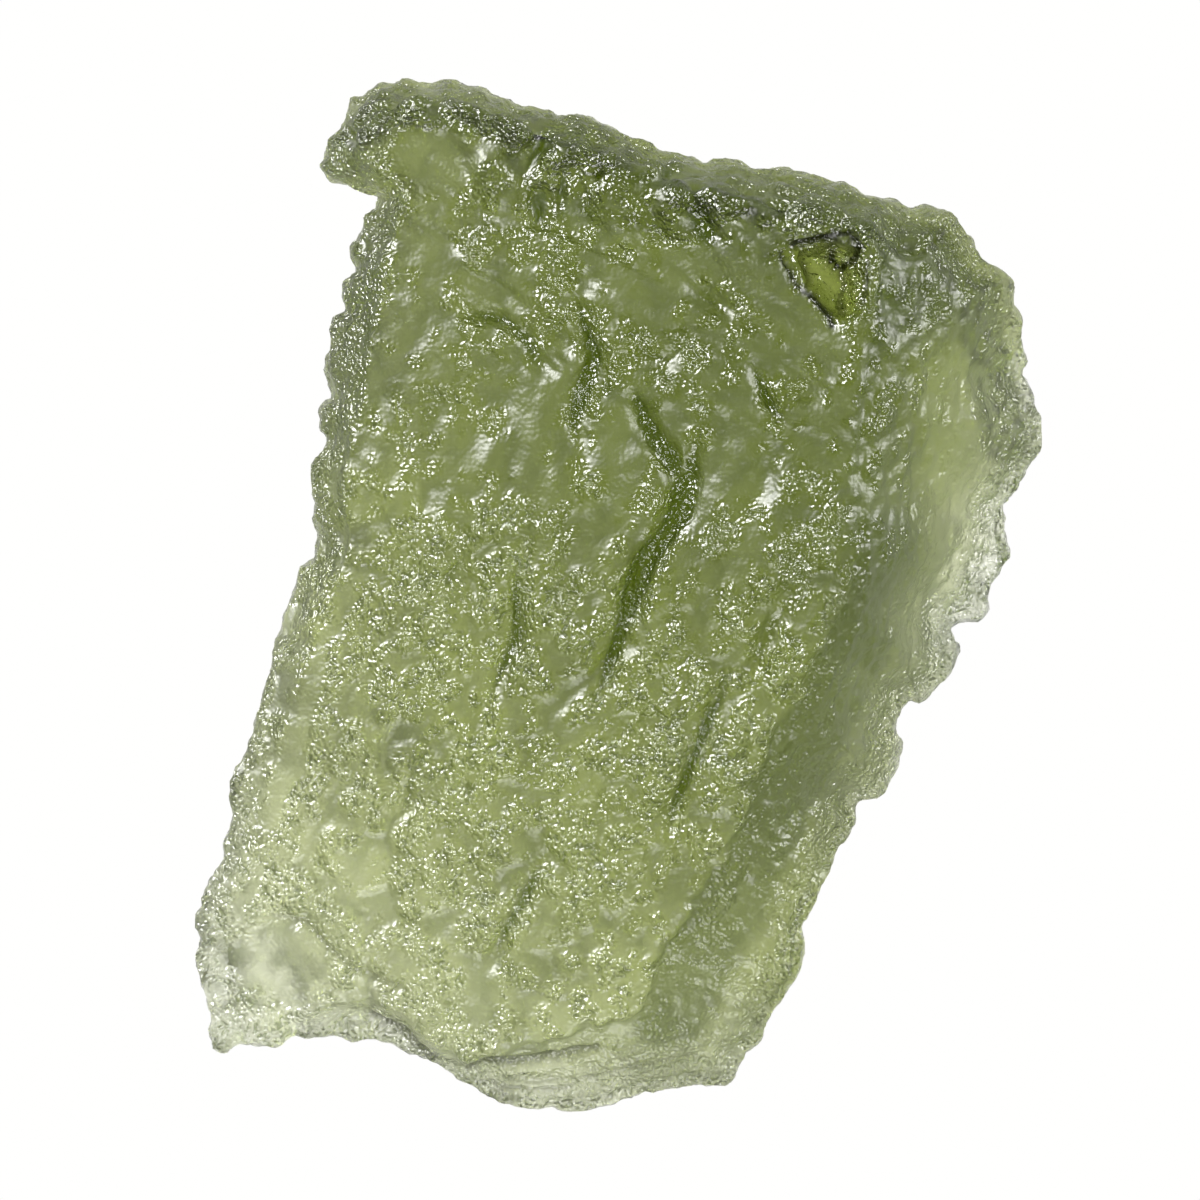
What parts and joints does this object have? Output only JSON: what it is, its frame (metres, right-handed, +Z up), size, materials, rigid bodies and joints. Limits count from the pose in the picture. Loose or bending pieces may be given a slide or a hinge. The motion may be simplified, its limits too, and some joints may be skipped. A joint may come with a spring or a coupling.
{
  "type": "moldavite",
  "caption": "Natural piece of green, see-through moldavite glass with a furrowed, pitted skin, broad flanks and a thin scalloped rim, lying on its underside.",
  "frame": {"origin": "on the surface the stone rests on, under the middle of its box", "axes": "+Z up out of the main face, +Y towards the hooked, thick end, +X towards the wide, thin flank"},
  "size_m": [0.0256, 0.0312, 0.0084],
  "materials": {
    "moldavite_glass": "bottle green natural glass, satin etched skin with fine pits, glossy where freshly chipped"
  },
  "bodies": {
    "root": {"moldavite": "moldavite_glass"}
  },
  "joints": []
}
